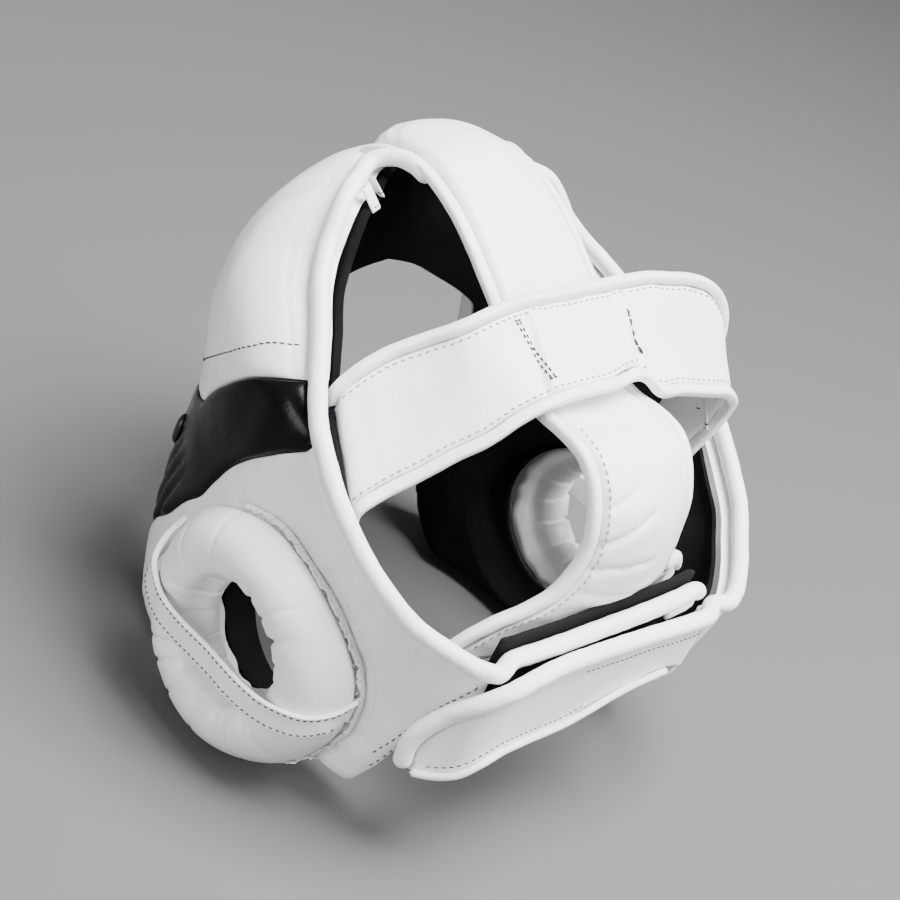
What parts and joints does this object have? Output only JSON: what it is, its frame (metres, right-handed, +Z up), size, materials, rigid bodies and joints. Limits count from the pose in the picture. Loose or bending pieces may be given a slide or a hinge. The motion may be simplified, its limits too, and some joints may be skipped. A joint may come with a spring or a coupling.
{
  "type": "head guard",
  "caption": "Padded head guard for contact sport: white leather panels, black temple panels, stuffed ear rings, crown straps and a hook-and-loop closure at the back.",
  "frame": {"origin": "bottom centre of the guard's box, on the plane that it rests on", "axes": "-Y towards the wearer's face opening, +X the wearer's left, +Z up"},
  "size_m": [0.2443, 0.2131, 0.2015],
  "materials": {
    "white_leather": "smooth satin",
    "black_leather": "smooth semi-gloss",
    "lining_cloth": "matt",
    "white_binding": "smooth satin",
    "black_badge": "smooth"
  },
  "bodies": {
    "root": {"forehead_panel": "white_leather", "temple_panel_left": "black_leather", "temple_panel_right": "black_leather", "side_panel_left": "white_leather", "side_panel_right": "white_leather", "lining": "lining_cloth", "ear_ring_left": "white_leather", "ear_ring_right": "white_leather", "ear_strip_left": "white_leather", "ear_strip_right": "white_leather", "crown_strap": "white_leather", "crown_strap_binding_left": "white_binding", "crown_strap_binding_right": "white_binding", "cross_band": "white_leather", "cross_band_binding_front": "white_binding", "cross_band_binding_rear": "white_binding", "back_pad": "white_leather", "back_pad_binding_left": "white_binding", "back_pad_binding_right": "white_binding", "inner_tab": "white_leather", "outer_flap": "white_leather", "rim_binding_left": "white_binding", "rim_binding_right": "white_binding", "temple_badge_left": "black_badge", "temple_badge_right": "black_badge"}
  },
  "joints": []
}
